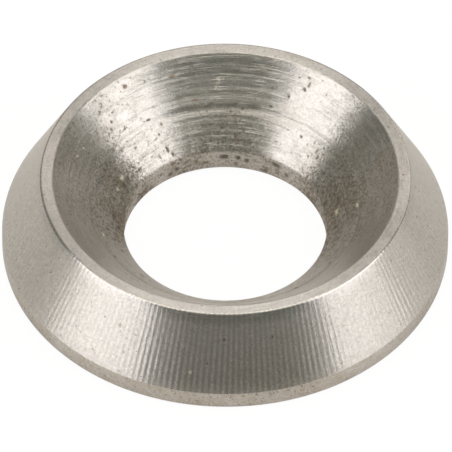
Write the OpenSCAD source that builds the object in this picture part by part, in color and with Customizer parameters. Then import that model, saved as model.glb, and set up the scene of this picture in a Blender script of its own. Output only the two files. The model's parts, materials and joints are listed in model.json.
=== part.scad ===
// Finishing cup washer for a countersunk screw, turned in one piece from stainless steel bar.
// The origin is on the axis in the plane of the base, and +Z points out of the countersink.
// All sizes are in millimetres, at the size for an M6 screw.

/* [Body] */
// Diameter of the base
outer_d = 14.5; // [12.6:0.1:20]
// Height from the base to the rim
height = 3.1; // [2.6:0.1:6]
// Height of the plain band round the base, below the outer cone
band_h = 0.65; // [0.3:0.05:2]
// Width of the flat rim between the countersink and the outer cone
rim_w = 0.4; // [0.2:0.05:1]

/* [Screw seat] */
// Diameter of the clearance bore
bore_d = 6.6; // [5.6:0.1:10.6]
// Diameter of the countersink at the rim
countersink_d = 11.2; // [7.2:0.1:12.4]
// Included angle of the countersink, in degrees
countersink_angle = 90; // [82:1:120]

/* [Edges] */
// Radius on both edges of the flat rim
rim_edge_r = 0.1; // [0.02:0.01:0.15]
// Radius where the outer cone meets the band
band_edge_r = 0.1; // [0.02:0.01:0.25]
// Radius on the outer and inner edges of the base
base_edge_r = 0.1; // [0.02:0.01:0.25]
// Radius where the countersink meets the bore
seat_edge_r = 0.1; // [0.02:0.01:0.25]

/* [Hidden] */

// Facets to a full turn
$fn = 144;

// Warm grey of bare turned stainless steel
steel_grey = [0.68, 0.66, 0.63];

// Outer diameter of the flat rim, where the outer cone ends
rim_d = countersink_d + 2 * rim_w;

// Height of the straight bore wall that the countersink leaves above the base
countersink_depth = (countersink_d - bore_d) / 2 / tan(countersink_angle / 2);
bore_wall_h = height - countersink_depth;

// Straight steps in the arc on each edge
edge_steps = 5;

// Largest share of a side that the arc at either end of it may take up
edge_share = 0.45;

// Corners of the half section as [radius, height, edge radius], anticlockwise from the bore
section_corners = [
    [bore_d / 2, 0, base_edge_r],
    [outer_d / 2, 0, base_edge_r],
    [outer_d / 2, band_h, band_edge_r],
    [rim_d / 2, height, rim_edge_r],
    [countersink_d / 2, height, rim_edge_r],
    [bore_d / 2, bore_wall_h, seat_edge_r],
];
corner_count = len(section_corners);

// Place of a corner of the half section, counted on round the section
function corner(i) = [section_corners[i % corner_count][0], section_corners[i % corner_count][1]];

// Direction that faces out of the material, for the side from a corner to the next one
function facing(i) =
    let (side = corner(i + 1) - corner(i))
    atan2(-side[0], side[1]);

// Points of the arc that rounds a corner, from the side before it to the side after it
function edge_arc(i) =
    let (
        first = facing(i + corner_count - 1),
        turn = (facing(i) - first + 360) % 360,
        middle = first + turn / 2,
        side = min(norm(corner(i + 1) - corner(i)), norm(corner(i + corner_count - 1) - corner(i))),
        r = min(section_corners[i][2], edge_share * side / tan(turn / 2)),
        centre = corner(i) - r / cos(turn / 2) * [cos(middle), sin(middle)]
    )
    [
        for (step = [0 : edge_steps])
            let (a = first + turn * step / edge_steps)
            centre + r * [cos(a), sin(a)]
    ];

// Half section of the washer, with every edge rounded
module half_section() {
    polygon([for (i = [0 : corner_count - 1]) each edge_arc(i)]);
}

// The whole washer: base, band, outer cone, flat rim, countersink and bore in one turned piece
module cup_washer() {
    color(steel_grey) rotate_extrude() half_section();
}

cup_washer();
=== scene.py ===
import json
import math
import random

import bpy
import numpy as np
from mathutils import Matrix, Vector


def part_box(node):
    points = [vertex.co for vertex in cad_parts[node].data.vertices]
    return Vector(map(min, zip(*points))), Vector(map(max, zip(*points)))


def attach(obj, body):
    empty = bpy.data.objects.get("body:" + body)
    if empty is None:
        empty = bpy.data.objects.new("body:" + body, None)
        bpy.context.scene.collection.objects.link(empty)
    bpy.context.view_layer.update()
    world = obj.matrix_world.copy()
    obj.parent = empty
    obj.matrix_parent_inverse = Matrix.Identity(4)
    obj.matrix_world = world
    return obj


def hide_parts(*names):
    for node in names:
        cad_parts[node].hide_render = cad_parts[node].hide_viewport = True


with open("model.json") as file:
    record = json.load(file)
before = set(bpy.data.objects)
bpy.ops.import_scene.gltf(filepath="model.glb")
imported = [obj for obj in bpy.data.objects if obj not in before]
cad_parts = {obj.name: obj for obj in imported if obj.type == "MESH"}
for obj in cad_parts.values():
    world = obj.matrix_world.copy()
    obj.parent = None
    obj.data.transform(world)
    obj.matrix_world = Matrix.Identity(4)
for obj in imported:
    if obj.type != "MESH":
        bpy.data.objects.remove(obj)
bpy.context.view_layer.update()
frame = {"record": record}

# Camera: a long lens that looks down on the washer from the front, so the far side is hardly smaller than
# the near side. The washer's base centre sits a little below the middle of the picture.
MM = 0.001
image_px = 452
focal_px = 13370
base_centre_px = Vector((225.1, 242.5))
view_elevation = math.radians(47.2)
view_roll = math.radians(0.47)
view_distance = 435 * MM
nearest_seen = 10 * MM
sensor_width = 36

pixel = view_distance / focal_px
toward_camera = Vector((0, -math.cos(view_elevation), math.sin(view_elevation)))
tilt = Matrix.Rotation(view_roll, 3, toward_camera)
view_right = tilt @ Vector((1, 0, 0))
view_up = tilt @ Vector((0, math.sin(view_elevation), math.cos(view_elevation)))
shift_right = image_px / 2 - base_centre_px.x
shift_up = base_centre_px.y - image_px / 2

bpy.ops.object.select_all(action="DESELECT")
bpy.ops.object.camera_add()
camera = bpy.context.object
camera.data.sensor_width = sensor_width
camera.data.lens = focal_px / image_px * sensor_width
camera.data.clip_start = nearest_seen
camera_place = toward_camera * view_distance + (view_right * shift_right + view_up * shift_up) * pixel
camera_axes = Matrix((view_right, view_up, toward_camera)).transposed().to_4x4()
camera.matrix_world = Matrix.Translation(camera_place) @ camera_axes
bpy.context.scene.camera = camera

# Washer body: one ring of stainless steel bar, drilled, countersunk and turned to a cone outside.
# The half section is drawn as two wires, the outside and the inside, and each is turned about the axis.
# The outside takes more steps, because it carries the fine chatter ribs of the form tool.
far_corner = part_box("cup_washer")[1]
bore_mount = next(mount for mount in frame["record"]["mounts"] if mount["name"] == "bore")
outer_r = far_corner.x
rim_z = far_corner.z
bore_r = bore_mount["dims"]["r_mm"] * MM
band_z = 0.65 * MM
rim_w = 0.4 * MM
sink_r = 5.6 * MM
rim_r = sink_r + rim_w
# The countersink stands at 45 degrees, so it is as deep as it is wide
seat_z = rim_z - (sink_r - bore_r)
slant = math.sqrt(2)
cone_taper = (outer_r - rim_r) / (rim_z - band_z)
rim_edge_r = 0.1 * MM
band_edge_r = 0.1 * MM
base_edge_r = 0.1 * MM
seat_edge_r = 0.1 * MM
# A ring of vertices this far in from a rounded edge keeps the flat beside the edge flat
flat_margin = 0.08 * MM
rim_middle_r = (sink_r + rim_r) / 2
base_middle_r = (bore_r + outer_r) / 2
edge_segments = 4
band_cuts = 1
cone_cuts = 6
sink_cuts = 75
bore_cuts = 7
inner_steps = 560
outer_splits = 3
outer_steps = inner_steps * outer_splits
nearby = 0.002 * MM
turn_merge = nearby / 100
skin_merge = nearby / 4


def pick(piece, places):
    """Selects the vertices of a piece that lie at the given places, and leaves it in edit mode."""
    bpy.ops.object.mode_set(mode="EDIT")
    bpy.ops.mesh.select_mode(type="VERT")
    bpy.ops.mesh.select_all(action="DESELECT")
    bpy.ops.object.mode_set(mode="OBJECT")
    for vertex in piece.data.vertices:
        vertex.select = any((vertex.co - spot).length < nearby for spot in places)
    bpy.ops.object.mode_set(mode="EDIT")


def turned_skin(name, corners, steps):
    """Draws a wire through corners of the half section, rounds and divides it, and turns it about the axis.
    A corner is (radius, height, edge radius, cuts in the stretch that follows)."""
    bpy.ops.object.select_all(action="DESELECT")
    bpy.ops.mesh.primitive_plane_add(size=rim_w)
    skin = bpy.context.object
    skin.name = name
    spots = [Vector((r, 0, z)) for r, z, edge, cuts in corners]
    bpy.ops.object.mode_set(mode="EDIT")
    bpy.ops.mesh.select_all(action="SELECT")
    bpy.ops.mesh.merge(type="CENTER")
    bpy.ops.transform.translate(value=spots[0])
    for here, there in zip(spots, spots[1:]):
        bpy.ops.mesh.extrude_region_move(TRANSFORM_OT_translate={"value": there - here})
    starts = list(spots)
    ends = list(spots)
    for i in range(1, len(corners) - 1):
        edge = corners[i][2]
        if not edge:
            continue
        back = (spots[i - 1] - spots[i]).normalized()
        on = (spots[i + 1] - spots[i]).normalized()
        setback = edge / math.tan(back.angle(on) / 2)
        pick(skin, [spots[i]])
        bpy.ops.mesh.bevel(offset=setback, offset_type="OFFSET", segments=edge_segments, affect="VERTICES")
        ends[i] = spots[i] + back * setback
        starts[i] = spots[i] + on * setback
    for i in range(len(corners) - 1):
        cuts = corners[i][3]
        if cuts:
            pick(skin, [starts[i], ends[i + 1]])
            bpy.ops.mesh.subdivide(number_cuts=cuts)
    bpy.ops.object.mode_set(mode="OBJECT")
    turning = skin.modifiers.new("turned", "SCREW")
    turning.axis = "Z"
    turning.steps = steps
    turning.render_steps = steps
    turning.use_merge_vertices = True
    turning.merge_threshold = turn_merge
    turning.use_smooth_shade = True
    bpy.ops.object.modifier_apply(modifier="turned")
    return skin


def vertex_places(piece):
    """Returns the places of a piece's vertices, one row for each."""
    places = np.empty(len(piece.data.vertices) * 3)
    piece.data.vertices.foreach_get("co", places)
    return places.reshape(-1, 3)


def divide_ring(piece, ring_r, z):
    """Divides a circle of the inside as finely as the circle of the outside that it meets."""
    bpy.ops.object.mode_set(mode="EDIT")
    bpy.ops.mesh.select_all(action="DESELECT")
    bpy.ops.object.mode_set(mode="OBJECT")
    places = vertex_places(piece)
    on_ring = abs(np.hypot(places[:, 0], places[:, 1]) - ring_r) < nearby
    piece.data.vertices.foreach_set("select", on_ring & (abs(places[:, 2] - z) < nearby))
    bpy.ops.object.mode_set(mode="EDIT")
    bpy.ops.mesh.subdivide(number_cuts=outer_splits - 1)
    bpy.ops.object.mode_set(mode="OBJECT")


outside = turned_skin(
    "turned_washer",
    [
        (base_middle_r, 0, 0, 0),
        (outer_r - base_edge_r - flat_margin, 0, 0, 0),
        (outer_r, 0, base_edge_r, band_cuts),
        (outer_r, band_z, band_edge_r, cone_cuts),
        (rim_r, rim_z, rim_edge_r, 0),
        (rim_r - flat_margin, rim_z, 0, 0),
        (rim_middle_r, rim_z, 0, 0),
    ],
    outer_steps,
)
inside = turned_skin(
    "inside",
    [
        (rim_middle_r, rim_z, 0, 0),
        (sink_r + flat_margin, rim_z, 0, 0),
        (sink_r, rim_z, rim_edge_r, sink_cuts),
        (bore_r, seat_z, seat_edge_r, bore_cuts),
        (bore_r, 0, base_edge_r, 0),
        (bore_r + base_edge_r + flat_margin, 0, 0, 0),
        (base_middle_r, 0, 0, 0),
    ],
    inner_steps,
)
divide_ring(inside, rim_middle_r, rim_z)
divide_ring(inside, base_middle_r, 0)
bpy.ops.object.select_all(action="DESELECT")
inside.select_set(True)
outside.select_set(True)
bpy.context.view_layer.objects.active = outside
bpy.ops.object.join()
washer = outside
bpy.ops.object.mode_set(mode="EDIT")
bpy.ops.mesh.select_all(action="SELECT")
bpy.ops.mesh.remove_doubles(threshold=skin_merge)
bpy.ops.mesh.normals_make_consistent(inside=False)
bpy.ops.object.mode_set(mode="OBJECT")
bpy.ops.object.shade_smooth()

# Marks of the tools: the form tool chattered, and left fine ribs up the outer cone, which lean a little.
# The countersink was cut by a turning tool, which left one broad groove and a few lesser rings that fade in
# and out. Its section also sways a little from a straight line.
rib_count = 235
rib_height = 2.2 * MM / 1000
rib_fade = 0.08 * MM
# Lean of the ribs from foot to rim, as an angle round the washer, and how far it differs on the two sides
rib_lean = math.radians(-0.93)
rib_twist = 0.0155
# Height of the ribs at the foot and at the top of the cone, as shares of their height
foot_share = 1.65
top_share = 0.6
# Height of the ribs round the washer: share, and the middle and half width of its stretch in degrees
least_chatter = 0.55
chatter_humps = [
    (0.15, -4, 40),
    (0.15, -20, 9),
    (-0.15, 24, 10),
    (0.25, -49, 9),
    (0.1, -15, 6),
    (0.25, 59, 13),
    (0.15, 170, 45),
]
# Painted shade in the valleys between the ribs, strongest at the front and back, in the same form
least_rib_shade = 0.15
rib_shade_humps = [
    (0.85, 0, 25),
    (0.5, 170, 35),
]
# mm up the countersink, half width in mm, depth in thousandths of a mm
rings = [
    (0.34, 0.10, 3.5),
    (0.585, 0.06, 7),
    (0.81, 0.10, 11),
    (1.10, 0.06, 7.5),
    (1.425, 0.13, 32),
    (1.70, 0.05, 3),
    (1.88, 0.09, 7.5),
    (2.17, 0.075, 5),
    (2.405, 0.06, 6),
    (2.575, 0.06, 10),
    (2.86, 0.09, 3),
]
ring_level = 0.95
ring_least = 0.2
ring_most = 1.4
# Faint rings: ranges of their place up the countersink and half width in mm, and of their span in degrees
faint_rings = 60
faint_depth = 2 * MM / 1000
faint_up = (0.15, 3.1)
faint_half_width = (0.04, 0.09)
faint_span = (15, 70)
sway_height = 21 * MM / 1000
sway_start = 1.45 * MM
sway_length = 3.25 * MM
sway_fade = 0.1 * MM
chance = random.Random(7)

points = vertex_places(washer)
# Angle round the washer, from the front to the right
turn = np.arctan2(points[:, 0], -points[:, 1])
radius = np.hypot(points[:, 0], points[:, 1])
height = points[:, 2].copy()
in_sink = (abs((radius - bore_r) - (height - seat_z)) < nearby) & (radius > bore_r) & (radius < sink_r)
in_bore = (radius < bore_r + nearby) & (height < seat_z)
on_rim = (height > rim_z - nearby) & (radius > sink_r)
on_cone = (height > band_z) & (radius > rim_middle_r) & ~on_rim
on_band = (height < band_z) & (radius > outer_r - nearby)
up_sink = (radius - bore_r) * slant
up_cone = (height - band_z) * math.hypot(1, cone_taper)


def waver(waves, least, most):
    """Adds up waves round the washer, each with a chance height and start."""
    return sum(chance.uniform(least, most) * np.sin(k * turn + chance.uniform(0, math.tau)) for k in waves)


def hump(middle, half_width):
    """Rises to 1 round the given angle and falls to 0 away from it, in degrees."""
    off = (np.degrees(turn) - middle + 180) % 360 - 180
    return np.exp(-((off / half_width) ** 4))


def humps(level, rows):
    """Adds humps to a level round the washer. A row is a hump's height, middle and half width."""
    return level + sum(rise * hump(middle, half_width) for rise, middle, half_width in rows)


# The outer edge of the rim is broken less on the right, where it stays almost sharp
edge_reach = 0.07 * MM
edge_sharpness = 0.75
at_edge = np.hypot(radius - rim_r, height - rim_z) < edge_reach
broken = np.where(at_edge, 1 - edge_sharpness * hump(97, 36), 1)
edge_r = rim_r + (radius - rim_r) * broken
edge_z = rim_z + (height - rim_z) * broken
points[:, 0] = np.where(at_edge, edge_r * np.sin(turn), points[:, 0])
points[:, 1] = np.where(at_edge, -edge_r * np.cos(turn), points[:, 1])
points[:, 2] = np.where(at_edge, edge_z, points[:, 2])

# The ribs lean more on the left than on the right, and are deepest at the foot of the cone
drift = waver((2, 3, 5, 8, 13, 21, 34), 0.05, 0.3)
swell = 1 + waver((4, 7, 11, 19, 31, 47, 71, 97, 123), 0.06, 0.15)
on_ribs = np.clip((height - band_z) / rib_fade, 0, 1) * (radius > rim_middle_r)
climb = np.clip((height - band_z) / (rim_z - band_z), 0, 1)
lean = (0.5 - climb) * (rib_lean + rib_twist * np.sin(turn))
deep = foot_share + (top_share - foot_share) * climb
waves = swell * deep * np.sin(rib_count * (turn - lean) + drift) * on_ribs
# Painted shade between the ribs, kept for the steel in the ribs attribute
shade_between_ribs = waves * on_cone * humps(least_rib_shade, rib_shade_humps)
rib = rib_height * humps(least_chatter, chatter_humps) * waves
points[:, 0] += rib * np.sin(turn)
points[:, 1] -= rib * np.cos(turn)

in_from_ends = np.clip(np.minimum(up_sink, up_sink[in_sink].max() - up_sink) / sway_fade, 0, 1)
sunk = sway_height * np.sin(math.tau * (up_sink - sway_start) / sway_length) * in_from_ends
for ring_up, half_width, depth in rings:
    fading = np.clip(ring_level + waver((1, 2, 3, 5, 7, 11, 17), 0.05, 0.16), ring_least, ring_most)
    sunk += depth * MM / 1000 * fading * np.exp(-(((up_sink / MM - ring_up) / half_width) ** 2))
for _ in range(faint_rings):
    ring_up = chance.uniform(*faint_up) * MM
    half_width = chance.uniform(*faint_half_width) * MM
    depth = chance.uniform(-1, 1) * faint_depth
    middle = chance.uniform(0, math.tau)
    span = math.radians(chance.uniform(*faint_span))
    off = (turn - middle + math.pi) % math.tau - math.pi
    sunk += depth * np.exp(-(((up_sink - ring_up) / half_width) ** 2) - (off / span) ** 4)

# Pits and dirt: dark pits, brown rust specks and pale chips, each at its place on the washer. One pale spot
# on the rim is a painted highlight. The dark pits in the countersink are pressed into it. Each spot's kind
# is
# kept for the steel as a colour: red is dark, green is brown and blue is pale.
kinds = ["dark", "brown", "pale"]
pit_depth = 9 * MM / 1000
zones = {
    "sink": (in_sink, up_sink),
    "rim": (on_rim, radius - sink_r),
    "bore": (in_bore, height),
}
# zone, kind, degrees round from the front to the right, mm up the zone, half width and half height in mm
spots = [
    ("sink", "brown", -142, 2.93, 0.10, 0.09),
    ("sink", "brown", -128, 2.73, 0.07, 0.06),
    ("sink", "brown", -128, 2.02, 0.06, 0.07),
    ("sink", "dark", -145, 1.59, 0.10, 0.05),
    ("sink", "brown", -150, 1.30, 0.05, 0.09),
    ("sink", "brown", -147, 1.01, 0.05, 0.06),
    ("sink", "dark", -148, 0.45, 0.05, 0.16),
    ("sink", "dark", -150, 0.25, 0.05, 0.10),
    ("sink", "brown", -160, 2.67, 0.14, 0.08),
    ("sink", "pale", -177, 2.36, 0.07, 0.10),
    ("sink", "pale", -116, 0.65, 0.11, 0.10),
    ("sink", "dark", -114, 0.45, 0.10, 0.13),
    ("sink", "dark", -119, 0.50, 0.07, 0.07),
    ("sink", "dark", -102, 0.59, 0.08, 0.08),
    ("sink", "brown", -98, 1.04, 0.06, 0.16),
    ("sink", "brown", -75, 1.95, 0.09, 0.06),
    ("sink", "pale", -73, 1.17, 0.15, 0.07),
    ("sink", "dark", 173, 1.43, 0.06, 0.08),
    ("sink", "dark", 150, 2.54, 0.07, 0.08),
    ("sink", "brown", 149, 2.75, 0.05, 0.14),
    ("sink", "brown", 150, 2.96, 0.07, 0.05),
    ("sink", "dark", 155, 2.15, 0.05, 0.09),
    ("sink", "dark", 143, 1.11, 0.06, 0.06),
    ("sink", "brown", 132, 1.00, 0.05, 0.12),
    ("sink", "brown", 97, 0.36, 0.10, 0.09),
    ("sink", "pale", 95, 0.48, 0.11, 0.09),
    ("sink", "pale", 91, 1.37, 0.13, 0.07),
    ("sink", "dark", 55, 1.20, 0.10, 0.07),
    ("sink", "brown", 33, 1.30, 0.09, 0.07),
    ("sink", "brown", -130, 2.21, 0.06, 0.07),
    ("sink", "brown", -123, 1.46, 0.06, 0.06),
    ("sink", "brown", -126, 1.27, 0.05, 0.08),
    ("sink", "brown", -133, 1.04, 0.07, 0.05),
    ("sink", "pale", -112, 2.34, 0.07, 0.07),
    ("sink", "pale", -107, 2.44, 0.06, 0.06),
    ("sink", "pale", -176, 2.11, 0.06, 0.08),
    ("sink", "dark", 161, 1.66, 0.10, 0.05),
    ("sink", "brown", -167, 1.76, 0.16, 0.06),
    ("sink", "dark", 175, 0.52, 0.08, 0.09),
    ("sink", "dark", -178, 0.78, 0.09, 0.06),
    ("sink", "dark", -172, 0.39, 0.07, 0.08),
    ("sink", "dark", 167, 0.36, 0.08, 0.09),
    ("sink", "brown", 130, 0.85, 0.06, 0.10),
    ("sink", "dark", 102, 0.64, 0.08, 0.07),
    ("sink", "dark", 96, 0.28, 0.10, 0.08),
    ("sink", "dark", 113, 0.22, 0.09, 0.08),
    ("sink", "dark", 106, 0.14, 0.09, 0.07),
    ("sink", "dark", 118, 0.47, 0.06, 0.09),
    ("sink", "dark", 90, 0.92, 0.07, 0.06),
    ("sink", "dark", 85, 0.45, 0.08, 0.08),
    ("sink", "dark", -91, 0.47, 0.12, 0.10),
    ("sink", "dark", -85, 0.25, 0.10, 0.09),
    ("sink", "dark", -106, 0.30, 0.08, 0.07),
    ("sink", "pale", -109, 0.58, 0.05, 0.10),
    ("sink", "dark", -79, 0.85, 0.06, 0.14),
    ("sink", "dark", -66, 0.50, 0.09, 0.07),
    ("sink", "dark", -58, 1.25, 0.10, 0.06),
    ("sink", "dark", -45, 0.70, 0.12, 0.06),
    ("bore", "dark", -179, 0.56, 0.18, 0.13),
    ("bore", "dark", 173, 0.54, 0.10, 0.11),
    ("bore", "dark", 168, 0.46, 0.10, 0.12),
    ("bore", "dark", 150, 0.64, 0.22, 0.11),
    ("bore", "dark", 143, 0.41, 0.10, 0.11),
    ("bore", "brown", 133, 0.61, 0.10, 0.08),
    ("bore", "dark", -147, 0.27, 0.13, 0.11),
    ("bore", "dark", -151, 0.38, 0.11, 0.11),
    ("bore", "brown", -169, 0.34, 0.12, 0.08),
    # Painted highlight: a pale spot stands in for the glint on a small raised burr of the rim
    ("rim", "pale", 107, 0.32, 0.12, 0.03),
]
# The outside has few vertices up its slope, so its spots are drawn in the steel: kind, degrees round,
# mm above the base, half width and half height in mm
outer_spots = [
    ("brown", -31, 2.09, 0.07, 0.10),
    ("brown", -30.4, 1.92, 0.05, 0.06),
    ("brown", -28, 1.36, 0.06, 0.07),
    ("brown", -28, 0.75, 0.07, 0.06),
    ("pale", -9, 1.26, 0.06, 0.09),
    ("dark", 0, 2.32, 0.12, 0.11),
    ("dark", 14, 2.30, 0.06, 0.50),
    ("dark", -4.5, 1.58, 0.07, 0.08),
    ("brown", -36, 0.43, 0.11, 0.08),
    ("brown", -32, 0.29, 0.08, 0.12),
]
marks = np.zeros((len(points), 4))
marks[:, 3] = 1
for zone, kind, degrees, up, half_width, half_height in spots:
    inside_zone, up_zone = zones[zone]
    across = (turn - math.radians(degrees) + math.pi) % math.tau - math.pi
    wide = across * radius / (half_width * MM)
    tall = (up_zone - up * MM) / (half_height * MM)
    mark = np.exp(-(wide**2) - tall**2) * inside_zone
    channel = kinds.index(kind)
    marks[:, channel] = np.maximum(marks[:, channel], mark)
sunk += pit_depth * marks[:, kinds.index("dark")]
push = sunk * in_sink / slant
points[:, 0] += push * np.sin(turn)
points[:, 1] -= push * np.cos(turn)
points[:, 2] -= push
washer.data.vertices.foreach_set("co", points.ravel())
washer.data.update()
kept_marks = washer.data.color_attributes.new("marks", "FLOAT_COLOR", "POINT")
kept_marks.data.foreach_set("color", marks.ravel())

# Dirt lies thickest in the bore, low in the countersink, on its flanks and on the band, and thin elsewhere
thin_dirt = 0.15
rim_dirt = 0.2
band_dirt = 0.65
bore_dirt = 0.7
seat_reach = 0.09 * MM
sink_dirt_reach = 1.9 * MM
cone_dirt_reach = 2.2 * MM
flank = hump(-99, 32) + hump(94, 34)
low_in_sink = np.clip(1.2 - up_sink / sink_dirt_reach, 0, 1)
sink_dirt = humps(thin_dirt, [(0.1, -138, 16), (0.1, 105, 25)]) + 0.45 * flank
sink_dirt += low_in_sink * (humps(0.05, [(0.65, 180, 20), (0.6, 4, 50)]) + 0.6 * flank)
low_on_cone = np.clip(1.1 - up_cone / cone_dirt_reach, 0, 1)
cone_dirt = 0.06 + 0.45 * hump(8, 20) * low_on_cone
at_seat = np.hypot(radius - bore_r, height - seat_z) < seat_reach
dirt = np.where(on_cone, cone_dirt, thin_dirt)
dirt = np.where(in_sink, sink_dirt, dirt)
dirt = np.where(in_bore | (at_seat & ~in_sink), bore_dirt + 0.85 * flank, dirt)
dirt = np.where(on_rim, rim_dirt * (1 - hump(0, 35)), dirt)
dirt = np.where(on_band, band_dirt, dirt)
for name, values in (("dirt", dirt), ("ribs", shade_between_ribs)):
    kept_values = washer.data.attributes.new(name, "FLOAT", "POINT")
    kept_values.data.foreach_set("value", values)

# Steel: bare turned stainless steel, a warm grey metal. Turning leaves grooves round the axis, which smear
# each reflection up and down the slope and keep it crisp round the ring. The inside is rougher than the
# outside. The grain is finer on real steel, and is drawn coarse enough to show.
streak_spacing = 0.1 * MM
streaks_round = 2.1
streak_height = 0.02 * MM
break_spacing = 0.25 * MM
breaks_round = 11
grain_size = 0.07 * MM
grain_height = 0.005 * MM
outer_grain = 0.35
rim_grain = 0.25
scratch_width = 0.035 * MM
scratch_length = 0.6 * MM
scratch_height = 0.002 * MM
cloud_size = 1.2 * MM
blot_size = 0.13 * MM
stain_size = 0.2 * MM
steel = bpy.data.materials.new("turned_stainless_steel")
steel.use_nodes = True
tree = steel.node_tree
tree.nodes.clear()


def linear(hex_colour):
    """Turns an sRGB hex colour into linear red, green, blue and alpha."""
    parts = [int(hex_colour[i : i + 2], 16) / 255 for i in (0, 2, 4)]
    return [c / 12.92 if c <= 0.04045 else ((c + 0.055) / 1.055) ** 2.4 for c in parts] + [1]


def node(tree, kind, inputs=None, **settings):
    """Adds a node with its settings. An input that is a socket is linked, and any other is set."""
    made = tree.nodes.new(kind)
    for name, value in settings.items():
        setattr(made, name, value)
    for key, value in (inputs or {}).items():
        if isinstance(value, bpy.types.NodeSocket):
            tree.links.new(value, made.inputs[key])
        else:
            made.inputs[key].default_value = value
    return made


# The inputs of a Map Range node are its value, the two ends that it comes from and the two that it goes to.
# Those of a Mix node are its share, and at 6 and 7 its two colours.
place = node(tree, "ShaderNodeTexCoord").outputs["Object"]
parts = node(tree, "ShaderNodeSeparateXYZ", {0: place})
above_base = parts.outputs[2]
flat = node(tree, "ShaderNodeCombineXYZ", {0: parts.outputs[0], 1: parts.outputs[1]}).outputs[0]
way = node(tree, "ShaderNodeVectorMath", {0: flat}, operation="NORMALIZE").outputs[0]
reach = node(tree, "ShaderNodeVectorMath", {0: flat}, operation="LENGTH").outputs["Value"]
slope = node(tree, "ShaderNodeMath", {0: reach, 1: above_base}, operation="ADD").outputs[0]
outer_from = rim_r - rim_edge_r / 2
outer = node(tree, "ShaderNodeMath", {0: reach, 1: outer_from}, operation="GREATER_THAN").outputs[0]
inner = node(tree, "ShaderNodeMath", {0: 1, 1: outer}, operation="SUBTRACT").outputs[0]


def turned_place(scale_round, rise, scale_up):
    """Returns the place that a turned pattern reads, which runs round the axis and up along a rise."""
    rows = node(tree, "ShaderNodeMath", {0: rise, 1: scale_up}, operation="MULTIPLY").outputs[0]
    upward = node(tree, "ShaderNodeCombineXYZ", {2: rows}).outputs[0]
    around = node(
        tree, "ShaderNodeVectorMath", {0: way, "Scale": scale_round}, operation="SCALE"
    ).outputs[0]
    return node(tree, "ShaderNodeVectorMath", {0: around, 1: upward}, operation="ADD").outputs[0]


# Fine streaks inside: each is one pass of the tool, broken every few degrees
streak_place = turned_place(streaks_round, slope, 1 / streak_spacing / slant)
streaks = node(
    tree, "ShaderNodeTexNoise", {"Vector": streak_place, "Scale": 1, "Detail": 4, "Roughness": 0.65}
).outputs[0]
break_place = turned_place(breaks_round, slope, 1 / break_spacing / slant)
breaks = node(tree, "ShaderNodeTexNoise", {"Vector": break_place, "Scale": 1, "Detail": 1}).outputs[0]
strength = node(tree, "ShaderNodeMapRange", {0: breaks, 1: 0.35, 2: 0.65, 3: 0.1, 4: 1.9}).outputs[0]
level = node(tree, "ShaderNodeMath", {0: streaks, 1: 0.5}, operation="SUBTRACT").outputs[0]
uneven = node(tree, "ShaderNodeMath", {0: level, 1: strength}, operation="MULTIPLY").outputs[0]
cut = node(tree, "ShaderNodeMath", {0: uneven, 1: inner}, operation="MULTIPLY").outputs[0]

# Fine scratches outside run up the cone, and the grain is all over, but slight on the rim
scratch_place = turned_place(rim_r / scratch_width, above_base, 1 / scratch_length)
scratches = node(tree, "ShaderNodeTexNoise", {"Vector": scratch_place, "Scale": 1, "Detail": 1}).outputs[0]
scratched = node(tree, "ShaderNodeMath", {0: scratches, 1: outer}, operation="MULTIPLY").outputs[0]
grain = node(tree, "ShaderNodeTexNoise", {"Vector": place, "Scale": 1 / grain_size, "Detail": 2}).outputs[0]
grain_here = node(
    tree, "ShaderNodeMapRange", {0: outer, 1: 0, 2: 1, 3: grain_height, 4: grain_height * outer_grain}
).outputs[0]
top_from = rim_z - nearby
top = node(tree, "ShaderNodeMath", {0: above_base, 1: top_from}, operation="GREATER_THAN").outputs[0]
smooth = node(tree, "ShaderNodeMapRange", {0: top, 1: 0, 2: 1, 3: 1, 4: rim_grain}).outputs[0]
grainy = node(tree, "ShaderNodeMath", {0: grain, 1: smooth}, operation="MULTIPLY").outputs[0]
relief = node(tree, "ShaderNodeMath", {0: grainy, 1: grain_here}, operation="MULTIPLY").outputs[0]
for pattern, depth in ((cut, streak_height), (scratched, scratch_height)):
    relief = node(
        tree, "ShaderNodeMath", {0: pattern, 1: depth, 2: relief}, operation="MULTIPLY_ADD"
    ).outputs[0]
bump = node(tree, "ShaderNodeBump", {"Height": relief, "Strength": 1, "Distance": 1}).outputs[0]

# Specks: small ragged blots of brown dirt, more of them where the dirt is thick
dirt_here = node(tree, "ShaderNodeAttribute", attribute_name="dirt").outputs["Fac"]
clouds = node(
    tree, "ShaderNodeTexNoise", {"Vector": place, "Scale": 1 / cloud_size, "Detail": 2}
).outputs[0]
blots = node(
    tree, "ShaderNodeTexNoise", {"Vector": place, "Scale": 1 / blot_size, "Detail": 2, "Roughness": 0.5}
).outputs[0]
patchy = node(tree, "ShaderNodeMapRange", {0: clouds, 1: 0.35, 2: 0.65, 3: 0.4, 4: 1.1}).outputs[0]
thick = node(tree, "ShaderNodeMath", {0: dirt_here, 1: patchy}, operation="MULTIPLY").outputs[0]
gritty = node(tree, "ShaderNodeMapRange", {0: outer, 1: 0, 2: 1, 3: 0.24, 4: 0.1}).outputs[0]
lift = node(tree, "ShaderNodeMath", {0: thick, 1: gritty, 2: blots}, operation="MULTIPLY_ADD").outputs[0]
speck = node(tree, "ShaderNodeMapRange", {0: lift, 1: 0.67, 2: 0.83, 3: 0, 4: 0.62}).outputs[0]

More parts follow.
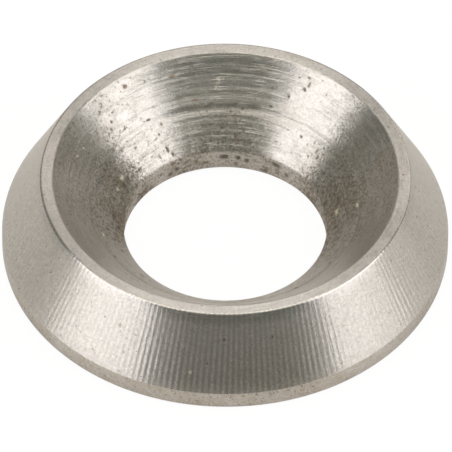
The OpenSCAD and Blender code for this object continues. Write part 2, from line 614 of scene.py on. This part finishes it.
# Marks: the larger pits, rust specks and chips, and the painted highlight on the rim, with their edges
# broken up by the grain
marks_here = node(tree, "ShaderNodeAttribute", attribute_name="marks").outputs["Color"]
by_kind = node(tree, "ShaderNodeSeparateColor", {0: marks_here})
ragged = node(tree, "ShaderNodeMapRange", {0: grain, 1: 0.3, 2: 0.7, 3: -0.25, 4: 0.25}).outputs[0]
edges = []
for channel in by_kind.outputs:
    rough_edge = node(tree, "ShaderNodeMath", {0: channel, 1: ragged}, operation="ADD").outputs[0]
    edge = node(tree, "ShaderNodeMapRange", {0: rough_edge, 1: 0.3, 2: 0.8, 3: 0, 4: 0.78}).outputs[0]
    edges.append(edge)

# Strength of the dark, brown and pale spots on the outside
outer_strengths = (0.85, 0.5, 0.8)
for kind, degrees, up, half_width, half_height in outer_spots:
    bearing = math.radians(degrees)
    spot_z = up * MM
    spot_r = outer_r - max(0, spot_z - band_z) * cone_taper
    middle = Vector((spot_r * math.sin(bearing), -spot_r * math.cos(bearing), spot_z))
    stretch = Vector((1 / half_width, 1 / half_width, 1 / half_height)) / MM
    start = -middle * stretch
    spread = node(
        tree, "ShaderNodeVectorMath", {0: place, 1: stretch, 2: start}, operation="MULTIPLY_ADD"
    ).outputs[0]
    away = node(tree, "ShaderNodeVectorMath", {0: spread}, operation="LENGTH").outputs["Value"]
    rough_away = node(tree, "ShaderNodeMath", {0: away, 1: ragged}, operation="SUBTRACT").outputs[0]
    i = kinds.index(kind)
    dot = node(
        tree, "ShaderNodeMapRange", {0: rough_away, 1: 1.1, 2: 0.2, 3: 0, 4: outer_strengths[i]}
    ).outputs[0]
    edges[i] = node(tree, "ShaderNodeMath", {0: edges[i], 1: dot}, operation="MAXIMUM").outputs[0]

# Painted shade: a dark line under the front of the rim, drawn with the dark marks
rim_shade_z = rim_z - 0.085 * MM
rim_shade_h = 0.045 * MM
rim_shade_way = (-0.04, -1, 0)
ahead = node(
    tree, "ShaderNodeVectorMath", {0: way, 1: rim_shade_way}, operation="DOT_PRODUCT"
).outputs["Value"]
in_front = node(tree, "ShaderNodeMapRange", {0: ahead, 1: 0.97, 2: 0.99, 3: 0, 4: 0.85}).outputs[0]
over_rim_shade = node(tree, "ShaderNodeMath", {0: above_base, 1: rim_shade_z}, operation="SUBTRACT").outputs[0]
from_rim_shade = node(tree, "ShaderNodeMath", {0: over_rim_shade}, operation="ABSOLUTE").outputs[0]
near_rim_shade = node(tree, "ShaderNodeMapRange", {0: from_rim_shade, 1: rim_shade_h, 2: 0, 3: 0, 4: 1}).outputs[0]
at_rim_shade = node(tree, "ShaderNodeMath", {0: near_rim_shade, 1: outer}, operation="MULTIPLY").outputs[0]
rim_shade_line = node(tree, "ShaderNodeMath", {0: at_rim_shade, 1: in_front}, operation="MULTIPLY").outputs[0]
i = kinds.index("dark")
edges[i] = node(tree, "ShaderNodeMath", {0: edges[i], 1: rim_shade_line}, operation="MAXIMUM").outputs[0]

# Colours: warm grey steel, a little darker in the grain, with painted shade between the ribs
stains = node(
    tree, "ShaderNodeTexNoise", {"Vector": place, "Scale": 1 / stain_size, "Detail": 3}
).outputs[0]
mottle = node(tree, "ShaderNodeMath", {0: stains, 1: 0.6, 2: grain}, operation="MULTIPLY_ADD").outputs[0]
mottle = node(tree, "ShaderNodeMath", {0: cut, 1: 0.6, 2: mottle}, operation="MULTIPLY_ADD").outputs[0]
tone = node(tree, "ShaderNodeMapRange", {0: mottle, 1: 0.56, 2: 1.04, 3: 0, 4: 1}).outputs[0]
metal = node(
    tree, "ShaderNodeMix", {0: tone, 6: linear("c0bab5"), 7: linear("dcd6d0")}, data_type="RGBA"
).outputs[2]
# Painted shade between the ribs, read from the ribs attribute
rib_shade_here = node(tree, "ShaderNodeAttribute", attribute_name="ribs").outputs["Fac"]
rib_shade = node(tree, "ShaderNodeMapRange", {0: rib_shade_here, 1: 1, 2: -1, 3: 0, 4: 0.6}).outputs[0]

# Then the dirt over it: a yellow brown stain, grit where the dirt is thickest inside, specks and marks
stain = node(tree, "ShaderNodeMapRange", {0: stains, 1: 0.38, 2: 0.72, 3: 0.24, 4: 0.58}).outputs[0]
stained = node(tree, "ShaderNodeMath", {0: stain, 1: thick}, operation="MULTIPLY").outputs[0]
settled = node(tree, "ShaderNodeMapRange", {0: grain, 1: 0.42, 2: 0.6, 3: 1.2, 4: 0.7}).outputs[0]
stained = node(tree, "ShaderNodeMath", {0: stained, 1: settled}, operation="MULTIPLY").outputs[0]
thickest = node(tree, "ShaderNodeMapRange", {0: dirt_here, 1: 0.45, 2: 0.95, 3: 0, 4: 0.5}).outputs[0]
gritted = node(tree, "ShaderNodeMapRange", {0: grain, 1: 0.5, 2: 0.36, 3: 0, 4: 1}).outputs[0]
gritted = node(tree, "ShaderNodeMath", {0: gritted, 1: thickest}, operation="MULTIPLY").outputs[0]
gritted = node(tree, "ShaderNodeMath", {0: gritted, 1: inner}, operation="MULTIPLY").outputs[0]
speck_tint = node(
    tree, "ShaderNodeMix", {0: clouds, 6: linear("40372d"), 7: linear("6c5b46")}, data_type="RGBA"
).outputs[2]
layers = [
    # Painted shade between the ribs
    (rib_shade, linear("9b958b")),
    (stained, linear("7c6b42")),
    (gritted, linear("4a4137")),
    (speck, speck_tint),
    # The dark marks also carry the painted shade line under the rim
    (edges[0], linear("51473d")),
    (edges[1], linear("86705a")),
    (edges[2], linear("ddd1b8")),
]
colour = metal
for share, tint in layers:
    colour = node(tree, "ShaderNodeMix", {0: share, 6: colour, 7: tint}, data_type="RGBA").outputs[2]
covered = speck
for edge in edges:
    covered = node(tree, "ShaderNodeMath", {0: covered, 1: edge}, operation="MAXIMUM").outputs[0]

# Dirt inside is thick and matt, and outside it is a thin dark film on the metal, as is the painted shade
# line under the rim
matt_share = node(tree, "ShaderNodeMapRange", {0: outer, 1: 0, 2: 1, 3: -0.8, 4: -0.15}).outputs[0]
bare = node(tree, "ShaderNodeMath", {0: covered, 1: matt_share, 2: 1}, operation="MULTIPLY_ADD").outputs[0]
finish = node(tree, "ShaderNodeMapRange", {0: outer, 1: 0, 2: 1, 3: 0.3, 4: 0.26}).outputs[0]
dull = node(tree, "ShaderNodeMapRange", {0: covered, 1: 0, 2: 1, 3: 0, 4: 0.3}).outputs[0]
roughness = node(tree, "ShaderNodeMath", {0: finish, 1: dull}, operation="ADD").outputs[0]
tangent = node(tree, "ShaderNodeTangent", direction_type="RADIAL", axis="Z").outputs[0]
shader = node(
    tree,
    "ShaderNodeBsdfPrincipled",
    {
        "Base Color": colour,
        "Metallic": bare,
        "Roughness": roughness,
        "Anisotropic": 0.9,
        "Anisotropic Rotation": 0.25,
        "Tangent": tangent,
        "Normal": bump,
    },
)
node(tree, "ShaderNodeOutputMaterial", {"Surface": shader.outputs[0]})
washer.data.materials.clear()
washer.data.materials.append(steel)

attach(washer, "root")
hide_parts("cup_washer")

# Floor and light: a sheet of white paper, with soft lamps on the left, on the right, above and behind. The
# low lamps give the outer cone its two bright stretches, and dimmer cards beside them soften the ends.
# The paper looks white to the camera, and less so in the steel, which lies in its own shade on the paper.
floor_size = 2000 * MM
floor_gap = 0.01 * MM
white_to_camera = 0.93
white_in_steel = 0.3
paper_glow = 1.02
bpy.ops.object.select_all(action="DESELECT")
bpy.ops.mesh.primitive_plane_add(size=floor_size, location=(0, 0, -floor_gap))
floor = bpy.context.object
floor.name = "table"
paper = bpy.data.materials.new("white_paper")
paper.use_nodes = True
tree = paper.node_tree
tree.nodes.clear()
rays = node(tree, "ShaderNodeLightPath").outputs
straight = node(
    tree,
    "ShaderNodeMath",
    {0: rays["Is Camera Ray"], 1: rays["Is Transmission Ray"]},
    operation="MAXIMUM",
).outputs[0]
by_eye = node(tree, "ShaderNodeMath", {0: straight, 1: white_to_camera}, operation="MULTIPLY").outputs[0]
by_steel = node(
    tree, "ShaderNodeMath", {0: rays["Is Glossy Ray"], 1: white_in_steel}, operation="MULTIPLY"
).outputs[0]
lit = node(tree, "ShaderNodeMath", {0: by_eye, 1: by_steel}, operation="MAXIMUM").outputs[0]
matt = node(
    tree,
    "ShaderNodeBsdfPrincipled",
    {"Base Color": linear("f5eee6"), "Roughness": 0.3, "Specular IOR Level": 0.35},
)
white = node(tree, "ShaderNodeEmission", {"Color": linear("ffffff"), "Strength": paper_glow})
mixed = node(tree, "ShaderNodeMixShader", {0: lit, 1: matt.outputs[0], 2: white.outputs[0]})
# From below the paper is clear, so the base can be seen
clear = node(tree, "ShaderNodeBsdfTransparent")
under = node(tree, "ShaderNodeNewGeometry").outputs["Backfacing"]
sheet = node(tree, "ShaderNodeMixShader", {0: under, 1: mixed.outputs[0], 2: clear.outputs[0]})
node(tree, "ShaderNodeOutputMaterial", {"Surface": sheet.outputs[0]})
floor.data.materials.append(paper)


def softbox(name, azimuth, elevation, distance, width, height, radiance, colour, roll=0):
    """Adds a soft lamp that faces the washer. Azimuth 0 is on the camera's side, and 90 is on the right."""
    bpy.ops.object.select_all(action="DESELECT")
    bpy.ops.object.light_add(type="AREA")
    lamp = bpy.context.object
    lamp.name = name
    lamp.data.shape = "RECTANGLE"
    lamp.data.size = width
    lamp.data.size_y = height
    lamp.data.energy = radiance * math.pi * width * height
    lamp.data.color = linear(colour)[:3]
    swing = Matrix.Rotation(math.radians(azimuth), 4, "Z")
    raised = Matrix.Rotation(math.radians(90 - elevation), 4, "X")
    out = Matrix.Translation((0, 0, distance))
    rolled = Matrix.Rotation(math.radians(roll), 4, "Z")
    lamp.matrix_world = swing @ raised @ out @ rolled


softbox("left_softbox", -68.5, 35, 200 * MM, 138 * MM, 155 * MM, 2.38, "fbfbff", 20)
softbox("left_low_softbox", -53.15, 5, 200 * MM, 128.8 * MM, 66 * MM, 2.05, "fdfcff")
softbox("left_mid_card", -77, 5, 200 * MM, 42 * MM, 66 * MM, 1.25, "fdfcff")
softbox("left_end_card", -88.5, 5, 200 * MM, 38.5 * MM, 66 * MM, 0.45, "fdfcff")
softbox("left_card", -29, 5, 200 * MM, 45 * MM, 66 * MM, 0.27, "fdfcff")
softbox("right_softbox", 74.4, 35, 200 * MM, 148 * MM, 155 * MM, 2.55, "fbfbff", -22)
softbox("right_low_softbox", 61.75, 5, 200 * MM, 79.6 * MM, 66 * MM, 1.7, "fdfcff")
softbox("right_mid_card", 79.15, 5, 200 * MM, 43.1 * MM, 66 * MM, 0.98, "fdfcff")
softbox("right_card", 98, 6, 200 * MM, 90 * MM, 60 * MM, 0.8, "ffffff")
softbox("right_inner_card", 43, 5, 200 * MM, 42 * MM, 66 * MM, 0.16, "ffffff")
softbox("top_softbox", 0, 87, 250 * MM, 255 * MM, 264 * MM, 1.05, "fdfaf4")
softbox("top_strip", 180, 77, 250 * MM, 160 * MM, 50 * MM, 2.2, "fdfaf4")
softbox("back_softbox", 180, 42, 300 * MM, 66 * MM, 240 * MM, 0.56, "fcfafb")
softbox("back_strip", 180, 44, 300 * MM, 300 * MM, 62 * MM, 0.86, "fefaf6")

# The room is dim, a little green in front and brighter behind. The camera sees plain white in its place.
room_front = 0.03
room_back = 0.335
room_way = (0, 1, 0.25)
world = bpy.data.worlds.new("studio")
bpy.context.scene.world = world
world.use_nodes = True
tree = world.node_tree
tree.nodes.clear()
look = node(tree, "ShaderNodeTexCoord").outputs["Generated"]
toward = node(
    tree, "ShaderNodeVectorMath", {0: look, 1: room_way}, operation="DOT_PRODUCT"
).outputs["Value"]
room = node(tree, "ShaderNodeMapRange", {0: toward, 1: -1, 2: 1, 3: room_front, 4: room_back}).outputs[0]
behind = node(tree, "ShaderNodeMapRange", {0: toward, 1: -1, 2: 1, 3: 0, 4: 1}).outputs[0]
room_tint = node(
    tree, "ShaderNodeMix", {0: behind, 6: linear("d2ffea"), 7: linear("fdfaf4")}, data_type="RGBA"
).outputs[2]
dim = node(tree, "ShaderNodeBackground", {"Color": room_tint, "Strength": room})
plain = node(tree, "ShaderNodeBackground", {"Color": linear("ffffff"), "Strength": 1})
seen = node(tree, "ShaderNodeLightPath").outputs["Is Camera Ray"]
surroundings = node(tree, "ShaderNodeMixShader", {0: seen, 1: dim.outputs[0], 2: plain.outputs[0]})
node(tree, "ShaderNodeOutputWorld", {"Surface": surroundings.outputs[0]})
bpy.context.scene.view_settings.view_transform = "Standard"
